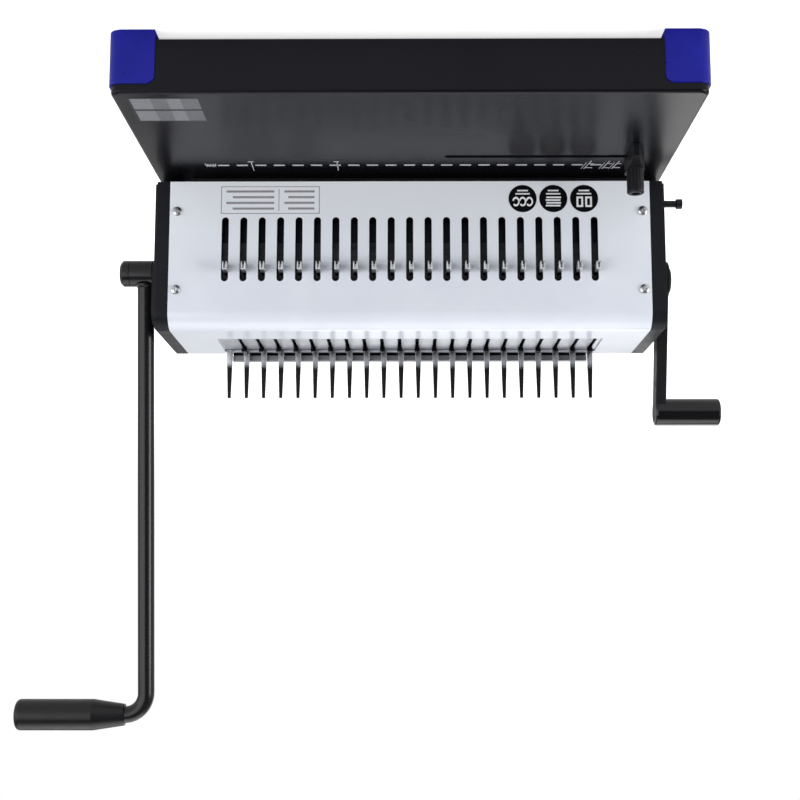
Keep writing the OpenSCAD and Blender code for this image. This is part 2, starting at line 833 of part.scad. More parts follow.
// Frame on the right, without the hole of the depth stop's pin
module frame() {
    difference() {
        union() {
            along_x(frame_in, frame_out) frame_outline();
            box(frame_out - cut, half_cover, face_y + cover_sheet, face_y + cover_sheet + flange_t,
                flange_low, flange_high);
            box(frame_out - cut, half_cover, back_y - cover_sheet - flange_t, back_y - cover_sheet,
                flange_low, flange_high);
            box(frame_out - cut, frame_out + frame_foot_w, frame_foot_y[0], frame_foot_y[1],
                base_top, base_top + frame_foot_t);
        }
        rod_along_x(frame_in - cut, frame_out + cut, shaft_y, shaft_z, shaft_r + bush_wall + seat);
        rod_along_x(frame_in - cut, frame_out + cut, lever_y, lever_z, lever_r + bush_wall + seat);
        for (z = [cover_screw_low, cover_screw_high]) {
            rod_along_y(cover_screw_x, cover_bottom + z, face_y, face_y + screw_len + cut, screw_r + seat);
            rod_along_y(cover_screw_x, cover_bottom + z, back_y - screw_len - cut, back_y, screw_r + seat);
        }
        for (y = frame_foot_screws)
            rod_along_z(frame_screw_x, y, base_top - cut, base_top + frame_foot_t + cut,
                frame_screw_r + seat);
        end_screw_holes();
    }
}

module right_frame() { color("slategray") frame(); }

module left_frame() {
    color("slategray") mirror([1, 0, 0]) difference() {
        frame();
        stop_slot(frame_in - cut, frame_out + cut);
    }
}

module frame_screws() {
    color("silver") for (sx = [-1, 1], y = frame_foot_screws) {
        rod_along_z(sx * frame_screw_x, y, sheet_under - base_boss_h, base_top + frame_foot_t, frame_screw_r);
        translate([sx * frame_screw_x, y, base_top + frame_foot_t])
            cylinder(r = frame_screw_head_r, h = frame_screw_head_h, $fn = 6);
    }
}

module tie_bar() {
    color("silver") rod_along_x(-frame_in, frame_in, back_y - tie_in, base_top + tie_h, tie_r);
}

// Flanged bushes of one shaft, one in each frame
module bushes(y, z, r) {
    for (sx = [-1, 1]) mirror([sx < 0 ? 1 : 0, 0, 0]) difference() {
        union() {
            rod_along_x(frame_in - bush_flange, frame_out + bush_proud, y, z, r + bush_wall);
            rod_along_x(frame_in - bush_flange, frame_in, y, z, r + bush_wall + bush_flange);
        }
        rod_along_x(frame_in - bush_flange - cut, frame_out + bush_proud + cut, y, z, r + running);
    }
}

module drive_bushes() { color("goldenrod") bushes(shaft_y, shaft_z, shaft_r); }
module lever_bushes() { color("goldenrod") bushes(lever_y, lever_z, lever_r); }

// Punch

// Row of holes for the punches
module punch_holes(z0, z1, play) {
    for (i = [0:hole_count - 1])
        box(row_x(i) - hole_w / 2 - play, row_x(i) + hole_w / 2 + play,
            punch_y - hole_d / 2 - play, punch_y + hole_d / 2 + play, z0, z1);
}

module die_plate() {
    color("lightsteelblue") difference() {
        union() {
            box(-die_land_w / 2, die_land_w / 2, punch_y - die_land_d / 2, punch_y + die_land_d / 2,
                base_top - die_t, base_top);
            box(-frame_in, frame_in, punch_y - die_flange_d / 2, punch_y + die_flange_d / 2,
                sheet_under - die_flange_t, sheet_under);
        }
        punch_holes(base_top - die_t - cut, base_top + cut, sliding);
    }
}

module punch_guide() {
    color("lightsteelblue") difference() {
        box(-frame_in, frame_in, guide_y0, guide_y1, cover_bottom, guide_top);
        punch_holes(cover_bottom - cut, guide_top + cut, sliding);
        for (sx = [-1, 1])
            rod_along_z(sx * rod_x, punch_y, guide_top - rod_sunk, guide_top + cut, rod_r + seat);
    }
}

module guide_rods() {
    color("silver") for (sx = [-1, 1])
        rod_along_z(sx * rod_x, punch_y, guide_top - rod_sunk, bar_top + retainer_t + rod_above, rod_r);
}

module return_springs() {
    color("silver") for (sx = [-1, 1])
        translate([sx * rod_x, punch_y, guide_top + seat])
            coil(spring_d / 2, spring_wire, spring_turns, spring_len - 2 * seat);
}

module punch_bar() {
    color("steelblue") difference() {
        box(-bar_half, bar_half, bar_front, bar_back, bar_bottom, bar_top);
        punch_holes(bar_bottom - cut, bar_top + cut, seat);
        for (i = [0:hole_count - 1]) {
            box(row_x(i) - pin_head_w / 2 - seat, row_x(i) + pin_head_w / 2 + seat,
                punch_y - hole_d / 2 - seat, punch_y + hole_d / 2 + seat,
                bar_top - pin_head_h, bar_top + cut);
            box(row_x(i) + tab_left - seat, row_x(i) + tab_right + seat,
                bar_front - cut, punch_y, tab_top - tab_h - seat, bar_top + cut);
        }
        for (sx = [-1, 1])
            rod_along_z(sx * rod_x, punch_y, bar_bottom - cut, bar_top + cut, rod_r + running);
    }
}

// Front end of a punch: a strip through the slot, then a small channel, open below and in front
module punch_tab() {
    front = face_y - tab_out;
    rear = face_y - tab_gap;
    low = tab_top - tab_h;
    left = tab_left - tab_over;
    box(tab_left, tab_right, rear - tab_wall, punch_y, low, tab_top);
    difference() {
        box(left, tab_right, front, rear, low, tab_top);
        box(left + tab_wall, tab_right - tab_wall, front - cut, rear - tab_wall, low - cut,
            tab_top - tab_wall);
    }
}

module punch_pins() {
    color("silver") for (i = [0:hole_count - 1]) translate([row_x(i), 0, 0]) {
        box(-hole_w / 2, hole_w / 2, punch_y - hole_d / 2, punch_y + hole_d / 2, pin_tip, bar_top);
        box(-pin_head_w / 2, pin_head_w / 2, punch_y - hole_d / 2, punch_y + hole_d / 2,
            bar_top - pin_head_h, bar_top);
        punch_tab();
    }
}

module pin_retainer() {
    color("gray") difference() {
        box(-bar_half, bar_half, bar_front, bar_back, bar_top, bar_top + retainer_t);
        for (sx = [-1, 1])
            rod_along_z(sx * rod_x, punch_y, bar_top - cut, bar_top + retainer_t + cut, rod_r + running);
    }
}

module punch_racks() {
    low = -rack_margin;
    high = stroke + rack_margin;
    color("dimgray") for (sx = [-1, 1])
        translate([0, drive_line, shaft_z])
            along_x(sx * rack_x - rack_width / 2, sx * rack_x + rack_width / 2)
                rack_outline(drive_module, low, high, rack_body, backlash);
}

// Hand lever

module drive_shaft() {
    end_x = hub_x + hub_len + hub_cap_len / 2;
    color("silver") rod_along_x(-frame_out - shaft_proud, end_x, shaft_y, shaft_z, shaft_r);
}

module drive_pinions() {
    color("dimgray") for (sx = [-1, 1])
        translate([0, shaft_y, shaft_z])
            along_x(sx * rack_x - pinion_width / 2, sx * rack_x + pinion_width / 2) difference() {
                polygon(gear_points(drive_module, drive_teeth, 0, drive_teeth - 1, backlash));
                circle(r = shaft_r + seat);
            }
}

// The hand lever's own frame: origin on the shaft, +Z along the tube
module handle_frame() {
    translate([0, shaft_y, shaft_z]) rotate([-handle_lean, 0, 0]) children();
}

module handle_hub() {
    color([0.12, 0.12, 0.13]) handle_frame() difference() {
        rod_along_x(hub_x, hub_x + hub_len, 0, 0, hub_r);
        rod_along_x(hub_x - cut, hub_x + hub_len + cut, 0, 0, shaft_r + seat);
    }
}

module hub_cap() {
    chamfer = 2.2;
    color([0.16, 0.16, 0.17]) handle_frame() difference() {
        translate([hub_x + hub_len, 0, 0]) rotate([0, 90, 0]) rotate_extrude()
            polygon([[0, 0], [hub_r, 0], [hub_r, hub_cap_len - chamfer], [hub_r - chamfer, hub_cap_len],
                [0, hub_cap_len]]);
        rod_along_x(hub_x, hub_x + hub_len + hub_cap_len / 2 + seat, 0, 0, shaft_r + seat);
    }
}

// Bent path of the tube as a solid of radius r
module tube_path(r, end_x) {
    rise = handle_len - tube_bend;
    rod_along_z(tube_x, 0, 0, rise, r);
    translate([tube_x + tube_bend, 0, rise]) rotate([90, 0, 0]) rotate([0, 0, 90])
        rotate_extrude(angle = 90) translate([tube_bend, 0]) circle(r = r);
    rod_along_x(tube_x + tube_bend, end_x, 0, handle_len, r);
}

module handle_tube() {
    end_x = grip_x + tube_into_grip;
    color([0.12, 0.12, 0.13]) handle_frame() difference() {
        tube_path(tube_r, end_x);
        tube_path(tube_r - tube_wall, end_x + cut);
        rod_along_x(hub_x - cut, hub_x + hub_len + cut, 0, 0, hub_r);
        box(hub_x - cut, hub_x + hub_len + cut, -hub_r, hub_r, -hub_r, 0);
    }
}

module handle_grip() {
    grip_r = grip_d / 2;
    color([0.13, 0.13, 0.15]) handle_frame() difference() {
        translate([grip_x, 0, handle_len]) rotate([0, 90, 0]) rotate_extrude() {
            polygon([[0, 0], [grip_neck_d / 2, 0], [grip_r, grip_taper], [grip_r, grip_len - grip_end_r],
                [0, grip_len - grip_end_r]]);
            square([grip_r - grip_end_r, grip_len]);
            translate([grip_r - grip_end_r, grip_len - grip_end_r]) intersection() {
                circle(r = grip_end_r);
                square(grip_end_r);
            }
        }
        rod_along_x(grip_x - cut, grip_x + tube_into_grip + seat, 0, handle_len, tube_r + seat);
    }
}

// Comb lever

module lever_frame() {
    translate([0, lever_y, lever_z]) rotate([-lever_lean, 0, 0]) children();
}

module lever_shaft() {
    end_x = frame_out + shaft_proud;
    color("silver") rod_along_x(-arm_out - lever_cap_t / 2, end_x, lever_y, lever_z, lever_r);
}

module sector_gears() {
    step = 360 / sector_teeth;
    top = sector_teeth / 4;
    first = top - ceil(lever_swing / step) - 1;
    teeth = gear_points(comb_module, sector_teeth, first, top + 1, backlash);
    color("dimgray") for (sx = [-1, 1])
        translate([0, lever_y, lever_z])
            along_x(sx * sector_x - sector_width / 2, sx * sector_x + sector_width / 2) difference() {
                union() {
                    polygon(concat([[0, 0]], teeth));
                    circle(r = sector_hub_r);
                }
                circle(r = lever_r + seat);
            }
}

module arm_outline() {
    top_half = arm_w / 2 - 1;
    circle(r = arm_eye_r);
    polygon([[-arm_w / 2, 0], [arm_w / 2, 0], [top_half, lever_len], [-top_half, lever_len]]);
    translate([0, lever_len]) circle(r = top_half);
}

module lever_arm() {
    color([0.12, 0.12, 0.13]) lever_frame() {
        difference() {
            along_x(-arm_out, -arm_in) arm_outline();
            rod_along_x(-arm_out - cut, -arm_in + cut, 0, 0, lever_r + seat);
        }
        rod_along_x(-arm_out - lever_stud_len, -arm_out + cut, 0, lever_len, lever_stud_r);
    }
}

module lever_grip() {
    edge = 2;
    r = lever_grip_d / 2;
    color([0.13, 0.13, 0.15]) lever_frame() difference() {
        translate([-arm_in, 0, lever_len]) rotate([0, -90, 0]) rotate_extrude() {
            translate([0, edge]) square([r, lever_grip_len - 2 * edge]);
            square([r - edge, lever_grip_len]);
            for (z = [edge, lever_grip_len - edge]) translate([r - edge, z]) intersection() {
                circle(r = edge);
                translate([0, -edge]) square([edge, 2 * edge]);
            }
        }
        along_x(-arm_out - seat, -arm_in + cut) arm_outline();
        rod_along_x(-arm_out - lever_stud_len - seat, -arm_in, 0, lever_len, lever_stud_r + seat);
    }
}

module lever_cap() {
    color([0.16, 0.16, 0.17]) difference() {
        translate([-arm_out, lever_y, lever_z]) rotate([0, -90, 0]) rotate_extrude()
            polygon([[0, 0], [lever_cap_r, 0], [lever_cap_r, lever_cap_t - lever_cap_edge],
                [lever_cap_r - lever_cap_edge, lever_cap_t], [0, lever_cap_t]]);
        rod_along_x(-arm_out - lever_cap_t / 2 - seat, -arm_in, lever_y, lever_z, lever_r + seat);
    }
}

// Comb opener

module comb_deck() {
    slot_front = hook_back - hook_shank_d - comb_travel - deck_slot_spare;
    color("silver") difference() {
        box(-frame_in, frame_in, deck_front, deck_back, deck_under, deck_top);
        for (i = [0:hole_count - 1])
            translate([finger_x(i) + hook_offset - hook_slot_w / 2, slot_front, deck_under - cut])
                cube([hook_slot_w, hook_back + 1 - slot_front, deck_t + 2 * cut]);
    }
}

module comb_strip() {
    color("gray") box(-frame_in, frame_in, deck_back, deck_back + finger_t, deck_top - strip_h, deck_top);
}

module comb_fingers() {
    color("silver") for (i = [0:hole_count])
        translate([finger_x(i), 0, deck_top])
            along_y(deck_back, deck_back + finger_t)
                polygon([[-finger_w / 2, 0], [finger_w / 2, 0], [finger_tip_w / 2, finger_h],
                    [-finger_tip_w / 2, finger_h]]);
}

module comb_back_rail() {
    web_y = (seam_y + back_y) / 2;
    color("gray") {
        box(-rail_w / 2, rail_w / 2, seam_y, back_y, cover_top + rail_h - rail_top_h, cover_top + rail_h);
        box(-rail_w / 2, rail_w / 2, web_y - rail_web_t / 2, web_y + rail_web_t / 2, cover_top,
            cover_top + rail_h - rail_top_h + cut);
    }
}

module carriage_rails() {
    color("gray") for (sx = [-1, 1]) mirror([sx < 0 ? 1 : 0, 0, 0]) difference() {
        box(frame_in - carriage_rail_w, frame_in, carriage_rail_front, deck_back,
            carriage_rail_low, deck_under);
        box(frame_in - carriage_rail_w - cut, frame_in - carriage_rail_w + carriage_groove,
            carriage_rail_front - cut, deck_back + cut, hook_bar_low - air, hook_bar_top + air);
    }
}

module hook_bar() {
    color("steelblue") box(-hook_bar_half, hook_bar_half, hook_bar_back - hook_bar_d, hook_bar_back,
        hook_bar_low, hook_bar_top);
}

// A shank through the deck's slot, a head before the finger, and a nose to the front at its top
module comb_hooks() {
    low = deck_top + air;
    high = low + hook_h;
    front = hook_back - hook_shank_d;
    color([0.08, 0.08, 0.09]) for (i = [0:hole_count - 1])
        translate([finger_x(i) + hook_offset, 0, 0]) {
            box(-hook_shank_w / 2, hook_shank_w / 2, front, hook_back, hook_bar_top, high);
            box(-hook_w / 2, hook_w / 2, front, hook_back, low, high);
            box(-hook_w / 2, hook_w / 2, front - hook_nose_d, hook_back, high - hook_t, high);
        }
}

module carriage_racks() {
    low = -rack_margin;
    high = comb_travel + rack_margin;
    body = hook_bar_low - comb_line - 1.25 * comb_module;
    color("dimgray") for (sx = [-1, 1])
        translate([0, lever_y, comb_line])
            along_x(sx * sector_x - sector_width / 2, sx * sector_x + sector_width / 2)
                rotate(-90) rack_outline(comb_module, low, high, body, backlash);
}

// Edge guide

// Foot with a straight right side for the sheets' edges and a nose that narrows to the front
module edge_guide() {
    low = base_top + air;
    high = base_top + guide_foot_h;
    right = guide_foot_right;
    left = right - guide_foot_w;
    color([0.1, 0.1, 0.11]) translate([guide_x, guide_y, 0]) difference() {
        translate([0, 0, low]) linear_extrude(high - low)
            polygon([[left, guide_flare], [right - guide_nose_w, -guide_nose], [right, -guide_nose],
                [right, guide_foot_rear], [left, guide_foot_rear]]);
        rod_along_z(0, 0, low - cut, high + cut, stud_r + seat);
    }
}

module guide_clamp() {
    color("silver") difference() {
        box(guide_x - clamp_w / 2, guide_x + clamp_w / 2, guide_y - clamp_w / 2, guide_y + clamp_w / 2,
            sheet_under - air - clamp_t, sheet_under - air);
        rod_along_z(guide_x, guide_y, sheet_under - 2 * clamp_t - cut, sheet_under, stud_r + seat);
    }
}

module guide_stud() {
    head_top = sheet_under - air - clamp_t;
    color("silver") {
        rod_along_z(guide_x, guide_y, head_top, base_top + guide_foot_h + stud_in_knob, stud_r);
        rod_along_z(guide_x, guide_y, head_top - clamp_t, head_top, 2 * stud_r);
    }
}

module guide_knob() {
    low = base_top + guide_foot_h + air;
    high = low + knob_h;
    edge = 1.5;
    r = knob_d / 2;
    color([0.1, 0.1, 0.11]) translate([guide_x, guide_y, 0]) difference() {
        translate([0, 0, low]) rotate_extrude() {
            square([r, knob_h - edge]);
            square([r - edge, knob_h]);
            translate([r - edge, knob_h - edge]) circle(r = edge);
        }
        for (k = [0:knob_ribs - 1])
            rotate(k * 360 / knob_ribs)
                rod_along_z(r + knob_rib_out, 0, low - cut, high - 2 * edge, knob_rib_r);
        rod_along_z(0, 0, low - cut, low + stud_in_knob, stud_r + running);
        rod_along_z(0, 0, high - knob_hollow, high + cut, knob_hollow_r);
    }
}

// Depth stop

// Slot that the depth stop's pin travels in
module stop_slot(x0, x1) {
    translate([0, 0, stop_pin_z])
        along_x(x0, x1) rotate(-90)
            translate([0, stop_pin_y - stop_pin_r - air])
                slot_outline(2 * (stop_pin_r + air), 2 * (stop_pin_r + air) + stop_travel);
}

module depth_stop_bar() {
    color("slategray") difference() {
        union() {
            box(-stop_half, stop_half, stop_y, stop_y + stop_bar_d, base_top + air, cover_bottom - air);
            box(-stop_half, -stop_half + stop_lug_t, stop_pin_y - stop_lug_half, stop_pin_y + stop_lug_half,
                base_top + air, stop_pin_z + stop_lug_half);
        }
        rod_along_x(-stop_half - cut, -stop_half + stop_lug_t + cut, stop_pin_y, stop_pin_z,
            stop_pin_r + seat);
    }
}

module depth_pin() {
    color([0.1, 0.1, 0.11]) {
        rod_along_x(-stop_head_x, -stop_half + stop_lug_t, stop_pin_y, stop_pin_z, stop_pin_r);
        rod_along_x(-stop_head_x - stop_head_t, -stop_head_x, stop_pin_y, stop_pin_z, stop_head_r);
    }
}

// Chip tray

module chip_tray() {
    color([0.12, 0.12, 0.13]) {
        difference() {
            box(-tray_w / 2, tray_w / 2, tray_front, tray_back, tray_low, tray_low + tray_h);
            box(-tray_w / 2 + tray_wall, tray_w / 2 - tray_wall, tray_front + tray_wall,
                tray_back - tray_wall, tray_low + tray_wall, tray_low + tray_h + cut);
        }
        box(-tray_w / 2 - tray_lip, tray_w / 2 + tray_lip, tray_back + air, tray_back + air + tray_plate_t,
            tray_door_low, tray_door_high);
        box(-tray_w / 2, tray_w / 2, tray_back - tray_wall, tray_back + air + cut,
            tray_low, tray_low + tray_h);
    }
}

// Angle strips under the base that the tray slides on, notched to pass under the die
module tray_runners() {
    web = tray_w / 2 + air;
    die_half = die_flange_d / 2 + air;
    color("gray") for (sx = [-1, 1]) mirror([sx < 0 ? 1 : 0, 0, 0]) difference() {
        union() {
            box(web, web + runner_t, tray_front, base_d / 2 - base_sheet,
                tray_low - air - runner_t, sheet_under);
            box(web - runner_ledge, web + runner_t, tray_front, base_d / 2 - base_sheet,
                tray_low - air - runner_t, tray_low - air);
        }
        box(web - cut, web + runner_t + cut, punch_y - die_half, punch_y + die_half,
            pin_tip - stroke - 2 * air, base_top);
    }
}

base_shell();
foot_front_left();
foot_front_right();
foot_rear_left();
foot_rear_right();
foot_screws();
front_cover();
rear_cover();
left_end_cover();
right_end_cover();
cover_screws();
end_cover_screws();
rear_cover_screws();
left_frame();
right_frame();
frame_screws();
die_plate();
punch_guide();
guide_rods();
return_springs();
comb_deck();
comb_strip();
comb_fingers();
comb_back_rail();
carriage_rails();
tie_bar();
drive_bushes();
lever_bushes();
tray_runners();
drive_shaft();
drive_pinions();
handle_hub();
hub_cap();
handle_tube();
handle_grip();
punch_bar();
punch_pins();
pin_retainer();
punch_racks();
lever_shaft();
sector_gears();
lever_arm();
lever_grip();
lever_cap();
hook_bar();
comb_hooks();
carriage_racks();
edge_guide();
guide_stud();
guide_clamp();
guide_knob();
depth_stop_bar();
depth_pin();
chip_tray();
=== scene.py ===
"""Looks of a desk punch and comb binding machine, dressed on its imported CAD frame.

Sizes are in metres, or in millimetres where MM turns them into metres. +X is the user's
right, +Y the rear, +Z up, with the origin on the table under the middle of the base. The
photograph shows the machine upside down, so the camera is rolled by half a turn.
"""

import json
import math

import bmesh
import bpy
from mathutils import Matrix, Vector


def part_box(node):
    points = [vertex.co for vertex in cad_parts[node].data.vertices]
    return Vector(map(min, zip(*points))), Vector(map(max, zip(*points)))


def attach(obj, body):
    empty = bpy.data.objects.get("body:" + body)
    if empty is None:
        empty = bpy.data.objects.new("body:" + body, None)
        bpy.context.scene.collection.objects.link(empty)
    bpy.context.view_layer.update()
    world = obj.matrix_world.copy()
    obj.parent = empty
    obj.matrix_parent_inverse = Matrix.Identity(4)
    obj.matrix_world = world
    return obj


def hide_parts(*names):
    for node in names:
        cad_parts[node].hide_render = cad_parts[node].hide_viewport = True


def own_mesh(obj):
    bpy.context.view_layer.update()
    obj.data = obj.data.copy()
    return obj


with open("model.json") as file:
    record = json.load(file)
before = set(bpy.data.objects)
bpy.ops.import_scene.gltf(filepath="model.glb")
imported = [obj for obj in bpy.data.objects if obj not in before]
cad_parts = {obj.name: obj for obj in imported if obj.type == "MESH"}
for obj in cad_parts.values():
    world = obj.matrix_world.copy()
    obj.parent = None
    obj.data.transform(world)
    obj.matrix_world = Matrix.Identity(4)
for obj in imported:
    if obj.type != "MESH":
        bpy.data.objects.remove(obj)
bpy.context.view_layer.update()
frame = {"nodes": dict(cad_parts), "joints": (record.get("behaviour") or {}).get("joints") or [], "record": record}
NODES = frame["nodes"]
JOINTS = {joint["name"]: joint for joint in frame["joints"]}
BODY_OF = {node: body
           for body, nodes in frame["record"]["behaviour"]["bodies"].items() for node in nodes}
SLOT_OF = {name: node.material_slots[0].material.name for name, node in NODES.items()}
MM = 0.001
WHITE = (1.0, 1.0, 1.0, 1.0)


def srgb(red, green, blue):
    """Linear colour of a colour given as it looks on a screen, from 0 to 255."""
    def linear(value):
        share = value / 255
        return share / 12.92 if share <= 0.04045 else ((share + 0.055) / 1.055) ** 2.4
    return (linear(red), linear(green), linear(blue), 1.0)


def shade(colour, factor):
    """The same colour, lighter or darker."""
    return tuple(min(1.0, part * factor) for part in colour[:3]) + (1.0,)


class NodeTree:
    """Shader nodes of a material or a world, fed with plain values or other nodes' outputs."""

    def __init__(self, owner, space):
        owner.use_nodes = True
        self.nodes = owner.node_tree.nodes
        self.links = owner.node_tree.links
        self.space = self.nodes.new("ShaderNodeTexCoord").outputs[space]

    def put(self, value, socket):
        if isinstance(value, bpy.types.NodeSocket):
            self.links.new(value, socket)
        else:
            socket.default_value = value

    def add(self, kind, inputs=None, **settings):
        node = self.nodes.new(kind)
        for key, value in settings.items():
            setattr(node, key, value)
        for socket, value in (inputs or {}).items():
            self.put(value, node.inputs[socket])
        return node

    def axis(self, letter):
        return self.add("ShaderNodeSeparateXYZ", {"Vector": self.space}).outputs[letter]

    def span(self, value, low, high, to_low=0.0, to_high=1.0, smooth=False):
        """Turns the range from low to high into another range, and stops at its ends."""
        inputs = {"Value": value, "From Min": low, "From Max": high,
                  "To Min": to_low, "To Max": to_high}
        return self.add("ShaderNodeMapRange", inputs,
                        interpolation_type="SMOOTHSTEP" if smooth else "LINEAR").outputs[0]

    def calc(self, operation, *values):
        return self.add("ShaderNodeMath", dict(enumerate(values)), operation=operation).outputs[0]

    def mix(self, factor, first, second):
        """A colour between two, where the node's inputs 6 and 7 are its two colours."""
        return self.add("ShaderNodeMix", {0: factor, 6: first, 7: second},
                        data_type="RGBA", clamp_factor=True).outputs[2]


class Finish(NodeTree):
    """A Principled material whose colour, gloss and relief come from nodes in object space."""

    NOISE_ROUGHNESS = 0.55
    NOISE_LOW, NOISE_HIGH = 0.3, 0.7         # most values of a noise lie between these
    EDGE_COSINE, FACE_COSINE = 0.75, 0.98    # of the angle between rounded and plain normal

    def __init__(self, name, **sockets):
        self.material = bpy.data.materials.new(name)
        super().__init__(self.material, "Object")
        self.bsdf = self.nodes["Principled BSDF"]
        for socket, value in sockets.items():
            self.feed(socket.replace("_", " "), value)

    def feed(self, socket, value):
        self.put(value, self.bsdf.inputs[socket])

    def noise(self, scale, detail, stretch=None):
        """Noise in object space, with each axis stretched by a factor."""
        where = self.space
        if stretch:
            where = self.add("ShaderNodeMapping", {"Vector": where, "Scale": stretch}).outputs[0]
        inputs = {"Vector": where, "Scale": scale, "Detail": detail,
                  "Roughness": self.NOISE_ROUGHNESS}
        return self.add("ShaderNodeTexNoise", inputs).outputs[0]

    def cells(self, scale):
        inputs = {"Vector": self.space, "Scale": scale}
        return self.add("ShaderNodeTexVoronoi", inputs).outputs["Distance"]

    def edge(self, radius):
        """1 along the edges of the shape, 0 on its faces."""
        rounded = self.add("ShaderNodeBevel", {"Radius": radius}, samples=4).outputs[0]
        plain = self.add("ShaderNodeNewGeometry").outputs["Normal"]
        near = self.add("ShaderNodeVectorMath", {0: rounded, 1: plain}, operation="DOT_PRODUCT")
        return self.span(near.outputs["Value"], self.EDGE_COSINE, self.FACE_COSINE, 1.0, 0.0)

    def clouded(self, scale, detail, first, second, low=NOISE_LOW, high=NOISE_HIGH):
        """Two colours that run into each other in clouds."""
        return self.mix(self.span(self.noise(scale, detail), low, high), first, second)

    def rubbed(self, base, bare, radius, share):
        """A colour that is rubbed toward another one along the edges."""
        return self.mix(self.calc("MULTIPLY", self.edge(radius), share), base, bare)

    def colour(self, value):
        self.feed("Base Color", value)

    def gloss(self, value, low, high):
        self.feed("Roughness", self.span(value, self.NOISE_LOW, self.NOISE_HIGH, low, high))

    def relief(self, height, distance, strength):
        inputs = {"Height": height, "Strength": strength, "Distance": distance}
        self.feed("Normal", self.add("ShaderNodeBump", inputs).outputs[0])


def paint_white():
    """Light powder paint on the sheet covers, with painted light low on the front face that lifts the shade
    falling there.
    """
    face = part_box("front_cover")[0]
    painted_light_height, face_from, face_to = 73.0 * MM, 0.2 * MM, 1.5 * MM
    finish = Finish("paint_white", Specular_IOR_Level=0.45)
    base = finish.clouded(16, 3, srgb(226, 231, 241), srgb(220, 225, 236), 0.35, 0.65)
    # Painted light: the front face is paler towards its foot, up to 73 mm high, against the shade it gets above
    # the black base.
    low = finish.span(finish.axis("Z"), face.z, face.z + painted_light_height, 1.0, 0.0)
    front = finish.span(finish.axis("Y"), face.y + face_from, face.y + face_to, 1.0, 0.0)
    base = finish.mix(finish.calc("MULTIPLY", low, front), base, srgb(244, 248, 255))
    finish.colour(finish.rubbed(base, srgb(188, 190, 194), 0.5 * MM, 0.35))
    finish.gloss(finish.noise(30, 2), 0.15, 0.20)
    finish.relief(finish.noise(850, 2), 0.01 * MM, 0.15)
    return finish.material


def paint_black():
    """Glossy black paint of the base tray: faint orange peel, fine scratches, rubbed edges."""
    finish = Finish("paint_black", Specular_IOR_Level=0.165, Specular_Tint=srgb(244, 244, 255))
    base = finish.clouded(14, 2, srgb(14, 14, 19), srgb(17, 17, 22))
    scratch = finish.span(finish.noise(900, 2, stretch=(0.06, 1, 1)), 0.70, 0.76, 0.0, 0.10)
    base = finish.mix(scratch, base, srgb(44, 44, 47))
    finish.colour(finish.rubbed(base, srgb(74, 74, 78), 0.8 * MM, 0.5))
    finish.gloss(finish.noise(9, 1), 0.26, 0.29)
    finish.relief(finish.noise(620, 2), 0.004 * MM, 0.1)
    return finish.material


def moulded(name, light, dark, worn, grain, depth, rough, specular):
    """Moulded plastic with a fine grain, uneven gloss and paler edges."""
    finish = Finish(name, Specular_IOR_Level=specular)
    base = finish.clouded(45, 4, dark, light)
    finish.colour(finish.rubbed(base, worn, 0.8 * MM, 0.6))
    finish.gloss(finish.noise(140, 3), rough - 0.05, rough + 0.07)
    pits = finish.calc("ADD", finish.cells(grain), finish.noise(grain * 0.6, 2))
    finish.relief(pits, depth, 0.5)
    return finish.material


def lacquer(name, light, dark, rough, specular):
    """Smooth black lacquer, a little uneven in gloss and rubbed at its edges."""
    finish = Finish(name, Specular_IOR_Level=specular)
    base = finish.clouded(18, 2, dark, light)
    finish.colour(finish.rubbed(base, srgb(44, 44, 48), 0.4 * MM, 0.4))
    finish.gloss(finish.noise(12, 2), rough - 0.02, rough + 0.02)
    return finish.material


def rubber():
    """Black rubber of the hand grip: satin, with fine pores and a little dust in them."""
    finish = Finish("rubber_black", Specular_IOR_Level=0.34)
    pores = finish.cells(1900)
    base = finish.clouded(30, 5, srgb(8, 8, 11), srgb(11, 11, 15))
    finish.colour(finish.mix(finish.span(pores, 0.0, 0.25, 0.3, 0.0), base, srgb(20, 20, 24)))
    finish.gloss(finish.noise(80, 3), 0.32, 0.40)
    finish.relief(pores, 0.03 * MM, 0.25)
    return finish.material


def lined_steel(name, fine, streaks, smooth, rough):
    """A steel finish still without a colour, and the fine lines in its gloss and relief."""
    finish = Finish(name, Metallic=1.0)
    lines = finish.noise(fine, 3, stretch=streaks)
    finish.gloss(lines, smooth, rough)
    finish.relief(lines, 0.02 * MM, 0.4)
    return finish, lines


def steel(name, light, dark, rough, streaks=(1, 1, 1), fine=600):
    """Bare or plated steel with drawn or ground lines and a slightly uneven polish."""
    finish, lines = lined_steel(name, fine, streaks, rough - 0.05, rough + 0.10)
    base = finish.clouded(38, 4, light, dark)
    finish.colour(finish.mix(finish.span(lines, 0.45, 0.75, 0.0, 0.55), base, shade(dark, 0.8)))
    return finish.material


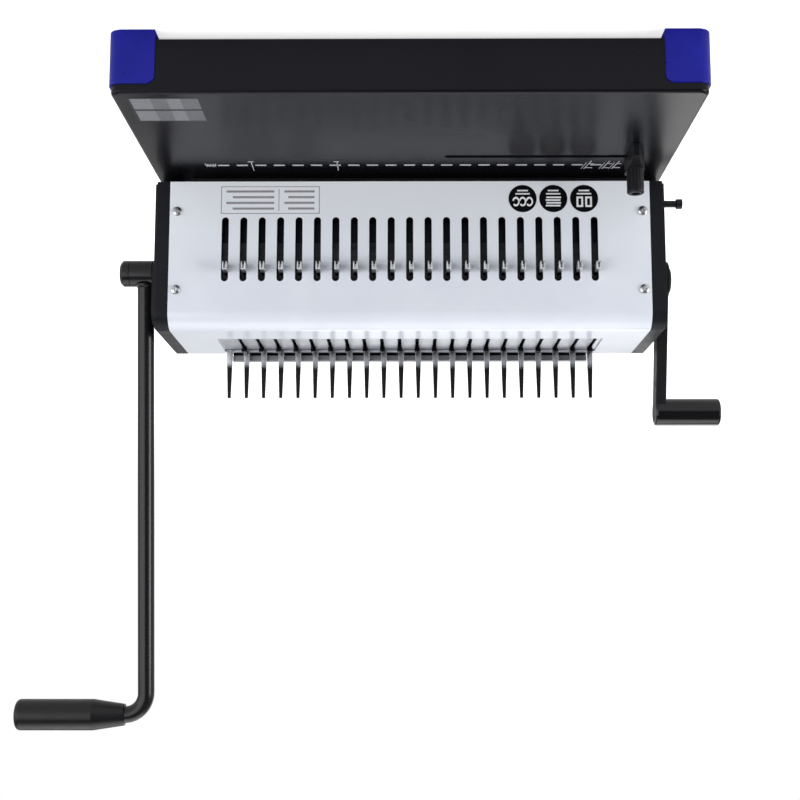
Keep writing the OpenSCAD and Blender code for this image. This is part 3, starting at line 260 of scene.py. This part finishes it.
def punch_steel():
    """Punches: bright steel where they stand out of the cover, with painted shade behind its face, darker still
    low down, and painted shade on the lower part of the tabs.
    """
    front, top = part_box("front_cover")[0].y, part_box("punch_pins")[1].z
    tab_foot, tab_shade_top = top - 8.0 * MM, top - 4.5 * MM
    deep_shade_full, deep_shade_top = top - 15.0 * MM, top - 13.0 * MM
    finish, lines = lined_steel("punch_ends", 700, (1, 1, 0.06), 0.26, 0.36)
    bright = finish.mix(finish.span(lines, 0.4, 0.7), srgb(240, 241, 243), srgb(206, 208, 212))
    # Painted shade on the lower part of each tab that stands out of the slot.
    low = finish.span(finish.axis("Z"), tab_foot, tab_shade_top, 0.6, 0.0, smooth=True)
    bright = finish.mix(low, bright, srgb(96, 97, 102))
    # Colour behind the cover's face, dark as painted shade inside the slots.
    body = finish.clouded(60, 3, srgb(58, 59, 66), srgb(44, 45, 50), 0.35, 0.65)
    # Painted shade, darker still on the punches lower down inside the housing.
    painted_deep_shade = finish.span(finish.axis("Z"), deep_shade_full, deep_shade_top, 1.0, 0.0)
    body = finish.mix(painted_deep_shade, body, srgb(30, 30, 37))
    # Behind the cover's face the punches take the painted shade colours instead of bright steel.
    inside = finish.span(finish.axis("Y"), front - 0.6 * MM, front + 0.4 * MM, smooth=True)
    finish.colour(finish.mix(inside, bright, body))
    return finish.material


def finger_steel():
    """Nickel-plated fingers, bright at the root and darker upward, near black from about 17 mm above the root to
    the tip.
    """
    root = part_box("comb_fingers")[0].z
    black_from, black_to, uneven = root + 10.0 * MM, root + 17.0 * MM, 1.0 * MM
    finish, lines = lined_steel("finger_steel", 700, (1, 1, 0.06), 0.22, 0.34)
    drift = finish.span(finish.noise(220, 2), 0.3, 0.7, -uneven, uneven)
    height = finish.calc("ADD", finish.axis("Z"), drift)
    dark = finish.span(height, black_from, black_to, smooth=True)
    bright = finish.mix(finish.span(lines, 0.4, 0.7), srgb(222, 224, 227), srgb(184, 186, 190))
    finish.colour(finish.mix(dark, bright, srgb(38, 38, 40)))
    return finish.material


def rail_steel():
    """Grey rail behind the fingers, ground along its length, with near-black painted shade over its foot and over
    the strip, which shares this finish.
    """
    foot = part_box("comb_back_rail")[0].z
    finish, lines = lined_steel("rail_steel", 600, (0.04, 1, 1), 0.30, 0.44)
    base = finish.mix(finish.span(lines, 0.35, 0.7), srgb(160, 162, 166), srgb(134, 135, 139))
    # Painted shade: near black up to 2.1 mm above the rail's foot, where it stands in the shadow of its own
    # flange.
    low = finish.span(finish.axis("Z"), foot + 2.1 * MM, foot + 2.6 * MM, 1.0, 0.0)
    finish.colour(finish.mix(low, base, srgb(16, 16, 18)))
    return finish.material


def plated_sheet():
    """Zinc-plated sheet of the frames, with its faint spangle."""
    finish = Finish("zinc_plate", Metallic=1.0)
    flakes = finish.span(finish.cells(130), 0.1, 0.7)
    base = finish.mix(flakes, srgb(186, 190, 194), srgb(158, 163, 168))
    finish.colour(finish.rubbed(base, srgb(208, 210, 212), 0.6 * MM, 0.4))
    finish.gloss(finish.noise(130, 3), 0.32, 0.46)
    finish.relief(finish.noise(500, 2), 0.02 * MM, 0.3)
    return finish.material


def printed(name, light, dark, specular=0.15):
    """Ink of the printed marks, thin in places."""
    finish = Finish(name, Specular_IOR_Level=specular)
    finish.colour(finish.clouded(900, 3, light, dark, 0.4, 0.75))
    finish.gloss(finish.noise(300, 2), 0.5, 0.62)
    finish.relief(finish.noise(1500, 2), 0.01 * MM, 0.3)
    return finish.material


# One finish for each material slot of the CAD nodes.
FINISHES = {
    "base_black": paint_black(),
    "foot_blue": moulded("moulded_blue", srgb(19, 24, 148), srgb(16, 20, 132),
                         worn=srgb(58, 64, 172), grain=1500, depth=0.04 * MM,
                         rough=0.32, specular=0.20),
    "cover_white": paint_white(),
    "end_black": moulded("moulded_black", srgb(25, 27, 33), srgb(21, 22, 28),
                         worn=srgb(50, 51, 56), grain=1300, depth=0.06 * MM,
                         rough=0.42, specular=0.14),
    "handle_black": lacquer("lacquer_black", srgb(22, 22, 26), srgb(18, 18, 22),
                            rough=0.24, specular=0.34),
    "grip_black": rubber(),
    "knob_black": moulded("knob_black", srgb(24, 23, 29), srgb(18, 18, 22),
                          worn=srgb(62, 62, 68), grain=1700, depth=0.04 * MM,
                          rough=0.32, specular=0.30),
    "screw_steel": steel("screw_nickel", srgb(206, 208, 211), srgb(178, 180, 184),
                         rough=0.27, fine=900),
    "screw_black": steel("screw_black", srgb(52, 52, 55), srgb(38, 38, 40),
                         rough=0.40, fine=900),
    "frame_steel": plated_sheet(),
    "tool_steel": steel("tool_steel", srgb(54, 55, 58), srgb(40, 41, 44),
                        rough=0.38, streaks=(0.05, 1, 1)),
    "punch_steel": steel("shaft_steel", srgb(176, 178, 182), srgb(150, 152, 156),
                         rough=0.24, streaks=(1, 1, 0.06)),
    "spring_steel": steel("spring_steel", srgb(70, 71, 75), srgb(52, 53, 56),
                          rough=0.34, fine=1200),
    "gear_steel": steel("gear_steel", srgb(134, 134, 136), srgb(106, 106, 108),
                        rough=0.38, streaks=(0.08, 1, 1)),
    "bush_bronze": steel("bush_bronze", srgb(196, 152, 92), srgb(160, 118, 66),
                         rough=0.36, fine=1100),
    "deck_steel": steel("deck_steel", srgb(192, 195, 201), srgb(174, 177, 183),
                        rough=0.40, streaks=(0.05, 1, 1)),
    "finger_steel": finger_steel(),
    "strip_steel": rail_steel(),
    "hook_black": steel("hook_black", srgb(52, 52, 56), srgb(34, 34, 37),
                        rough=0.22, streaks=(1, 0.1, 1), fine=500),
    "tray_black": moulded("tray_black", srgb(32, 32, 35), srgb(25, 25, 27),
                          worn=srgb(58, 58, 61), grain=1200, depth=0.08 * MM,
                          rough=0.46, specular=0.3),
}


def to_object(name, mesh):
    """A bmesh as an object of the scene, with its normals turned outward."""
    bmesh.ops.recalc_face_normals(mesh, faces=mesh.faces)
    data = bpy.data.meshes.new(name)
    mesh.to_mesh(data)
    mesh.free()
    piece = bpy.data.objects.new(name, data)
    bpy.context.scene.collection.objects.link(piece)
    return piece


def smooth_faces(piece, sharp_above=60.0):
    """Smooth shading that keeps flat faces flat, and edges over an angle sharp."""
    data = piece.data
    data.shade_smooth()
    data.set_sharp_from_angle(angle=math.radians(sharp_above))
    normals = piece.modifiers.new("normals", "WEIGHTED_NORMAL")
    normals.keep_sharp = True
    normals.weight = 80
    return piece


def dressed(piece, body, slot, *nodes):
    """Gives a piece its finish, the body it moves with and the nodes it stands for."""
    piece.data.materials.clear()
    piece.data.materials.append(FINISHES[slot])
    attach(piece, body)
    if nodes:
        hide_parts(*nodes)
    return piece


def softened(node, radius):
    """A piece that stands for a CAD node, of the same shape with its edges broken by a radius."""
    flat, sharp = math.radians(0.4), math.radians(30)
    mesh = bmesh.new()
    mesh.from_mesh(NODES[node].data)
    bmesh.ops.remove_doubles(mesh, verts=mesh.verts, dist=1e-6)
    bmesh.ops.dissolve_limit(mesh, angle_limit=flat, verts=mesh.verts, edges=mesh.edges)
    edges = [edge for edge in mesh.edges
             if len(edge.link_faces) == 2 and edge.calc_face_angle(0) > sharp]
    bmesh.ops.bevel(mesh, geom=edges, offset=radius, offset_type="OFFSET", segments=2,
                    profile=0.5, affect="EDGES", clamp_overlap=True)
    piece = smooth_faces(to_object(node + "_finish", mesh))
    return dressed(piece, BODY_OF[node], SLOT_OF[node], node)


# Radius of the broken edges of the nodes that show, in millimetres.
EDGE_RADII = {
    "base_shell": 0.35, "front_cover": 0.25, "rear_cover": 0.25, "left_end_cover": 0.35,
    "right_end_cover": 0.35, "foot_front_left": 0.7, "foot_front_right": 0.7,
    "foot_rear_left": 0.7, "foot_rear_right": 0.7, "handle_hub": 0.5, "hub_cap": 0.3,
    "lever_arm": 0.8, "lever_cap": 0.25, "edge_guide": 0.5, "depth_pin": 0.35,
    "depth_stop_bar": 0.3, "chip_tray": 0.4, "comb_deck": 0.2, "comb_fingers": 0.3,
    "comb_hooks": 0.25, "comb_back_rail": 0.3, "comb_strip": 0.3, "cover_screws": 0.1,
    "rear_cover_screws": 0.1, "end_cover_screws": 0.2, "foot_screws": 0.2, "punch_pins": 0.15,
}

for name, node in NODES.items():
    node.material_slots[0].material = FINISHES[SLOT_OF[name]]
PIECES = {name: softened(name, radius * MM) for name, radius in EDGE_RADII.items()}

# Pieces that look different from the rest of their slot.
NODES["pin_retainer"].material_slots[0].material = FINISHES["tool_steel"]
NODES["lever_grip"].material_slots[0].material = lacquer(
    "grip_gloss", srgb(17, 17, 20), srgb(13, 13, 16), rough=0.14, specular=0.40)
PIECES["lever_arm"].data.materials[0] = moulded(
    "arm_black", srgb(30, 30, 33), srgb(25, 25, 28), worn=srgb(48, 48, 52),
    grain=900, depth=0.02 * MM, rough=0.40, specular=0.12)
PIECES["depth_stop_bar"].data.materials[0] = FINISHES["tray_black"]
PIECES["punch_pins"].data.materials[0] = punch_steel()


def coil(mesh, centre, low, high, mean_radius, wire, turns, rings=28, sides=10):
    """One closed tube along a helix, standing on a level and reaching another."""
    rise = high - low - 2 * wire
    count = turns * rings
    loops = []
    for i in range(count + 1):
        angle = 2 * math.pi * i / rings
        middle = Vector((centre[0] + mean_radius * math.cos(angle),
                         centre[1] + mean_radius * math.sin(angle),
                         low + wire + rise * i / count))
        out = Vector((math.cos(angle), math.sin(angle), 0))
        loop = []
        for j in range(sides):
            turn = 2 * math.pi * j / sides
            offset = wire * (math.cos(turn) * out + Vector((0, 0, math.sin(turn))))
            loop.append(mesh.verts.new(middle + offset))
        loops.append(loop)
    for first, second in zip(loops, loops[1:]):
        for j in range(sides):
            mesh.faces.new((first[j], first[j - 1], second[j - 1], second[j]))
    mesh.faces.new(loops[0])
    mesh.faces.new(loops[-1])


def return_springs():
    """Smooth coils in place of the faceted ones."""
    turns, wire = 8, 0.8 * MM
    low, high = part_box("return_springs")
    mesh = bmesh.new()
    reach = (high.y - low.y) / 2
    middle_y = (high.y + low.y) / 2
    for x in (low.x + reach, high.x - reach):
        coil(mesh, (x, middle_y), low.z, high.z, reach - wire, wire, turns)
    piece = smooth_faces(to_object("return_springs_finish", mesh))
    dressed(piece, BODY_OF["return_springs"], "spring_steel", "return_springs")
    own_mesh(piece)


return_springs()


def lathe(mesh, profile, place, segments=64):
    """Turns a closed profile of radius and height round a local Z axis."""
    rings = []
    for radius, height in profile:
        ring = []
        for i in range(segments):
            angle = 2 * math.pi * i / segments
            point = Vector((radius * math.cos(angle), radius * math.sin(angle), height))
            ring.append(mesh.verts.new(place @ point))
        rings.append(ring)
    for first, second in zip(rings, rings[1:] + rings[:1]):
        for i in range(segments):
            mesh.faces.new((first[i - 1], first[i], second[i], second[i - 1]))


def prism(mesh, points, lift, place):
    """A flat outline, drawn out by a lift along the local Z axis."""
    low = [mesh.verts.new(place @ Vector((x, y, 0))) for x, y in points]
    high = [mesh.verts.new(place @ Vector((x, y, lift))) for x, y in points]
    mesh.faces.new(list(reversed(low)))
    mesh.faces.new(high)
    for i in range(len(points)):
        mesh.faces.new((low[i - 1], low[i], high[i], high[i - 1]))


# Outlines of printed marks, in millimetres.

def rectangle(x0, x1, y0, y1):
    return [(x0, y0), (x1, y0), (x1, y1), (x0, y1)]


def disc(radius, steps=56):
    angles = [2 * math.pi * i / steps for i in range(steps)]
    return [(radius * math.cos(angle), radius * math.sin(angle)) for angle in angles]


def stroke(first, second, width):
    """Outline of a straight printed line between two points."""
    along = Vector((second[0] - first[0], second[1] - first[1])).normalized()
    side = Vector((-along.y, along.x)) * width / 2
    return [(first[0] + side.x, first[1] + side.y), (first[0] - side.x, first[1] - side.y),
            (second[0] - side.x, second[1] - side.y), (second[0] + side.x, second[1] + side.y)]


INK_WHITE = printed("ink_white", srgb(244, 245, 248), srgb(214, 216, 221))
INK_GREY = printed("ink_grey", srgb(206, 207, 211), srgb(160, 161, 166))
INK_BLACK = printed("ink_black", srgb(8, 8, 11), srgb(14, 14, 17), specular=0.06)


def on_base(lift=0.0):
    """Place of marks on the top of the base, or on a plate of some thickness there."""
    return Matrix.Translation((0, 0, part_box("base_shell")[1].z + lift * MM))


def on_face(x=0.0, z=0.0, lift=0.0):
    """Place of marks on the front face, or on a plate there, with their own Y turned up."""
    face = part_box("front_cover")[0].y
    return (Matrix.Translation((x * MM, face - lift * MM, z * MM))
            @ Matrix.Rotation(math.radians(90), 4, "X"))


def marks(name, outlines, lift, place, ink):
    """Printed marks as thin raised shapes on a face of the machine."""
    mesh = bmesh.new()
    for points in outlines:
        prism(mesh, [(x * MM, y * MM) for x, y in points], lift * MM, place)
    piece = to_object(name, mesh)
    piece.data.materials.append(ink)
    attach(piece, "machine")


def standing_tick(x):
    """A thin upright line on a short foot."""
    width, low, high = 0.8, 2.0, 23.5
    foot_left, foot_right, foot_low, foot_high = 1.4, 3.0, 0.6, 2.4
    return [rectangle(x, x + width, low, high),
            rectangle(x - foot_left, x + foot_right, foot_low, foot_high)]


def leaning_ticks(x):
    """Two leaning lines with two short bars to their left."""
    top, bar_left = 20.0, 4.0
    return [stroke((x + 2.2, top), (x - 1.4, 1.0), 0.9),
            stroke((x + 4.4, top), (x + 1.9, 5.0), 0.6),
            rectangle(x - bar_left, x + 1.0, 16.6, 18.4),
            rectangle(x - bar_left, x - 0.6, 7.0, 8.4)]


def zigzag(x, y):
    """Four peaks in a row."""
    peaks, step, reach, width = 4, 1.0, 4.2, 0.9
    shapes = []
    for i in range(peaks):
        start = x + 2 * step * i
        peak = (start + step, y + reach)
        shapes += [stroke((start, y - reach), peak, width),
                   stroke(peak, (start + 2 * step, y - reach), width)]
    return shapes


def ruler():
    """Pale marks on the base under the throat: a dash for each hole, and ticks without figures."""
    pitch, count, row_y = 14.2875, 21, 10.2
    dash, thick, lift = 8.6, 3.0, 0.06
    shapes = []
    for i in range(count):
        x = (i - (count - 1) / 2) * pitch
        shapes.append(rectangle(x - dash / 2, x + dash / 2, row_y - thick / 2, row_y + thick / 2))
    for x in (55.0, 120.5):
        shapes += standing_tick(x)
    for x in (-158.5, -151.0, -137.0):
        shapes += leaning_ticks(x)
    shapes += zigzag(148.6, row_y)
    marks("ruler_marks", shapes, lift, on_base(), INK_GREY)


def page_glyph():
    """Two sheets side by side, drawn as thick outlines."""
    shapes = []
    wide, rim, low, high = 5.2, 1.5, -1.6, 6.8
    for x in (-6.0, 0.8):
        shapes += [rectangle(x, x + rim, low, high),
                   rectangle(x + wide - rim, x + wide, low, high),
                   rectangle(x + rim, x + wide - rim, high - rim, high),
                   rectangle(x + rim, x + wide - rim, low, low + rim)]
    return shapes


def stack_glyph():
    """A pile of sheets, seen from its edge."""
    sheets, rise, shift = 4, 2.2, 0.5
    left, right, low, high = -6.0, 5.4, -1.6, -0.3
    return [rectangle(left + shift * (i % 2), right + shift * (i % 2),
                      low + rise * i, high + rise * i) for i in range(sheets)]


def ring_glyph():
    """Three open rings of a comb."""
    shapes = []
    steps, gap_steps, gap_turn = 14, 2, 0.7
    outer, inner, middle_y, stretch = 2.9, 1.7, 2.4, 1.35
    for x in (-5.2, 0.0, 5.2):
        for i in range(steps - gap_steps):
            first, second = (2 * math.pi * k / steps + gap_turn for k in (i, i + 1))
            corners = ((first, inner), (first, outer), (second, outer), (second, inner))
            shapes.append([(x + r * math.cos(a), middle_y + stretch * r * math.sin(a))
                           for a, r in corners])
    return shapes


def badges():
    """Three black discs on the cover, with plain pictograms of a page, a stack and a ring."""
    height, radius, disc_lift, print_lift = 66.1, 10.9, 0.12, 0.05
    lines = [rectangle(-5.6, 5.6, -4.4, -3.2), rectangle(-4.2, 4.2, -7.0, -5.8)]
    for name, x, glyph in (("page", -135.4, page_glyph()), ("stack", -111.5, stack_glyph()),
                           ("ring", -87.7, ring_glyph())):
        marks("badge_" + name, [disc(radius)], disc_lift, on_face(x, height),
              INK_BLACK)
        marks("badge_print_" + name, glyph + lines, print_lift, on_face(x, height, disc_lift),
              INK_WHITE)


def base_label():
    """A blank plate on the base, in two rows of plain cells."""
    x0, x1, y0, y1 = 140.5, 189.5, -134.5, -89.0
    rim, columns = 1.6, (0.0, 0.26, 0.46, 0.70, 1.0)
    plate_lift, cell_lift = 0.10, 0.04
    plate = printed("plate_grey", srgb(64, 65, 69), srgb(54, 55, 58))
    tones = (printed("cell_grey", srgb(112, 113, 118), srgb(98, 99, 103)),
             printed("cell_pale", srgb(132, 133, 138), srgb(116, 117, 121)))
    marks("label_plate", [rectangle(x0, x1, y0, y1)], plate_lift, on_base(), plate)
    rows = ((y0 + rim, (y0 + y1) / 2 - rim), ((y0 + y1) / 2 + rim, y1 - rim))
    left, wide = x0 + rim, x1 - x0 - 2 * rim
    cells = ([], [])
    for low_y, high_y in rows:
        for k, (first, second) in enumerate(zip(columns, columns[1:])):
            cells[k % 2].append(rectangle(left + wide * first, left + wide * second, low_y, high_y))
    for name, tone, shapes in zip(("label_cells", "label_cells_pale"), tones, cells):
        marks(name, shapes, cell_lift, on_base(plate_lift), tone)


def face_label():
    """A blank label on the cover: a thin frame with two fields and a few plain bars."""
    x0, x1, z0, z1, line = 69.9, 146.4, 56.0, 77.8, 0.45
    split, split_gap = x0 + 0.41 * (x1 - x0), 2.0
    frame_lift, bar_lift = 0.06, 0.05
    frame_ink = printed("ink_brown", srgb(122, 112, 116), srgb(106, 97, 101))
    bar_ink = printed("ink_pale", srgb(156, 152, 158), srgb(138, 134, 141))
    border = [rectangle(x0, x1, z0, z0 + line), rectangle(x0, x1, z1 - line, z1),
              rectangle(x0, x0 + line, z0 + line, z1 - line),
              rectangle(x1 - line, x1, z0 + line, z1 - line),
              rectangle(split, split + line, z0 + split_gap, z1 - split_gap)]
    marks("face_label_frame", border, frame_lift, on_face(), frame_ink)
    rows, tall, side_gap, end_gap = 4, 1.7, 4.0, 3.2
    shorter_left, shorter_right = 3.0, 5.0
    bars = []
    for k in range(rows):
        z = z0 + end_gap + k * (z1 - z0 - 2 * end_gap - tall) / (rows - 1)
        bars += [rectangle(x0 + side_gap, split - side_gap - shorter_left * (k % 2), z, z + tall),
                 rectangle(split + side_gap, x1 - side_gap - shorter_right * (k % 2), z, z + tall)]
    marks("face_label_bars", bars, bar_lift, on_face(), bar_ink)


def tube_weld():
    """Fillet of weld where the lever's tube stands on its hub."""
    tube_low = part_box("handle_tube")[0]
    hub_low, hub_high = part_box("handle_hub")
    pivot = JOINTS["hand_lever_swing"]["pos_m"]
    lean, tube_r, hub_r = math.radians(8.5), 6.55 * MM, (hub_high.z - hub_low.z) / 2
    steps, size, sink, bite, depth = 8, 2.4 * MM, 0.9 * MM, 0.3 * MM, 2.0 * MM
    place = (Matrix.Translation((tube_low.x + tube_r, pivot[1], pivot[2]))
             @ Matrix.Rotation(-lean, 4, "X"))
    angles = [math.pi / 2 * k / steps for k in range(steps + 1)]
    curve = [(tube_r + size * (1 - math.sin(angle)), hub_r - sink + size * (1 - math.cos(angle)))
             for angle in angles]
    inside = [(tube_r - bite, curve[-1][1]), (tube_r - bite, hub_r - depth),
              (curve[0][0], hub_r - depth)]
    mesh = bmesh.new()
    lathe(mesh, curve + inside, place)
    dressed(smooth_faces(to_object("tube_weld", mesh), 50), "hand_lever", "handle_black")


ruler()
badges()
base_label()
face_label()
tube_weld()


FLOOR_SIZE, FLOOR_GREY, FLOOR_GLOW = 8.0, 0.86, 0.72
SKY_FRONT, SKY_REAR, SKY_BLEND = 0.10, 0.62, 0.5
LAMPS = (
    # name, place, point it faces, size, watts
    ("key", (1.4, -1.85, 0.70), (0.0, 0.0, 0.1), 1.9, 28.0),
    ("top", (0.1, 0.3, 2.1), (0.0, 0.05, 0.1), 1.8, 20.5),
    ("fill", (-2.1, -0.9, 0.6), (0.0, 0.0, 0.10), 1.2, 31.0),
    ("right", (1.8, -0.5, 0.5), (0.0, -0.1, 0.15), 1.0, 6.0),
    ("rear", (-0.4, 2.0, 1.3), (0.0, 0.0, 0.15), 1.4, 9.5),
)


def seen_directly(tree, strength):
    """A strength for rays straight from the camera, and 0 for the rest."""
    path = tree.add("ShaderNodeLightPath")
    return tree.calc("MULTIPLY", path.outputs["Is Camera Ray"], strength)


def outside_base(tree):
    """0 on the floor under the base, rising to 1 just inside its skirt."""
    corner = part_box("base_shell")[1]
    soft = 12.0 * MM
    sides = [tree.span(tree.calc("ABSOLUTE", tree.axis(letter)), reach - 2 * soft, reach - soft)
             for letter, reach in (("X", corner.x), ("Y", corner.y))]
    return tree.calc("MAXIMUM", *sides)


def stage_floor():
    """Pale floor that keeps the shadow. To the camera it also glows, but not under the machine."""
    mesh = bmesh.new()
    bmesh.ops.create_grid(mesh, x_segments=1, y_segments=1, size=FLOOR_SIZE)
    floor = to_object("floor", mesh)
    finish = Finish("floor", Roughness=0.9, Specular_IOR_Level=0.0, Emission_Color=WHITE)
    finish.colour((FLOOR_GREY, FLOOR_GREY, FLOOR_GREY, 1.0))
    glow = finish.calc("MULTIPLY", seen_directly(finish, FLOOR_GLOW), outside_base(finish))
    finish.feed("Emission Strength", glow)
    floor.data.materials.append(finish.material)


def lighting():
    """Soft boxes in a room that is pale behind the machine, dim before it, white to the camera."""
    for name, place, target, size, watts in LAMPS:
        lamp = bpy.data.lights.new(name, "AREA")
        lamp.size = size
        lamp.energy = watts
        holder = bpy.data.objects.new(name, lamp)
        holder.location = place
        way = Vector(target) - Vector(place)
        holder.rotation_euler = way.to_track_quat("-Z", "Y").to_euler()
        bpy.context.scene.collection.objects.link(holder)
    world = bpy.data.worlds.new("studio")
    bpy.context.scene.world = world
    tree = NodeTree(world, "Generated")
    sky = tree.nodes["Background"]
    room = tree.span(tree.axis("Y"), -SKY_BLEND, SKY_BLEND, SKY_FRONT, SKY_REAR)
    tree.put(WHITE, sky.inputs["Color"])
    tree.put(tree.calc("MAXIMUM", room, seen_directly(tree, 1.0)), sky.inputs["Strength"])


def camera():
    """The photograph's view: a little from above, and rolled by half a turn."""
    place = Vector((1.1, -1046.3, 385.7)) * MM
    pitch, yaw, roll = math.radians(8.57), math.radians(0.34), math.pi
    lens = bpy.data.cameras.new("camera")
    lens.lens = 64.2
    lens.sensor_width = 36.0
    lens.clip_end = 50.0
    holder = bpy.data.objects.new("camera", lens)
    turn = (Matrix.Rotation(-yaw, 4, "Z") @ Matrix.Rotation(math.pi / 2 - pitch, 4, "X")
            @ Matrix.Rotation(roll, 4, "Z"))
    holder.matrix_world = Matrix.Translation(place) @ turn
    bpy.context.scene.collection.objects.link(holder)
    bpy.context.scene.camera = holder


stage_floor()
lighting()
camera()
bpy.context.scene.view_settings.view_transform = "Standard"
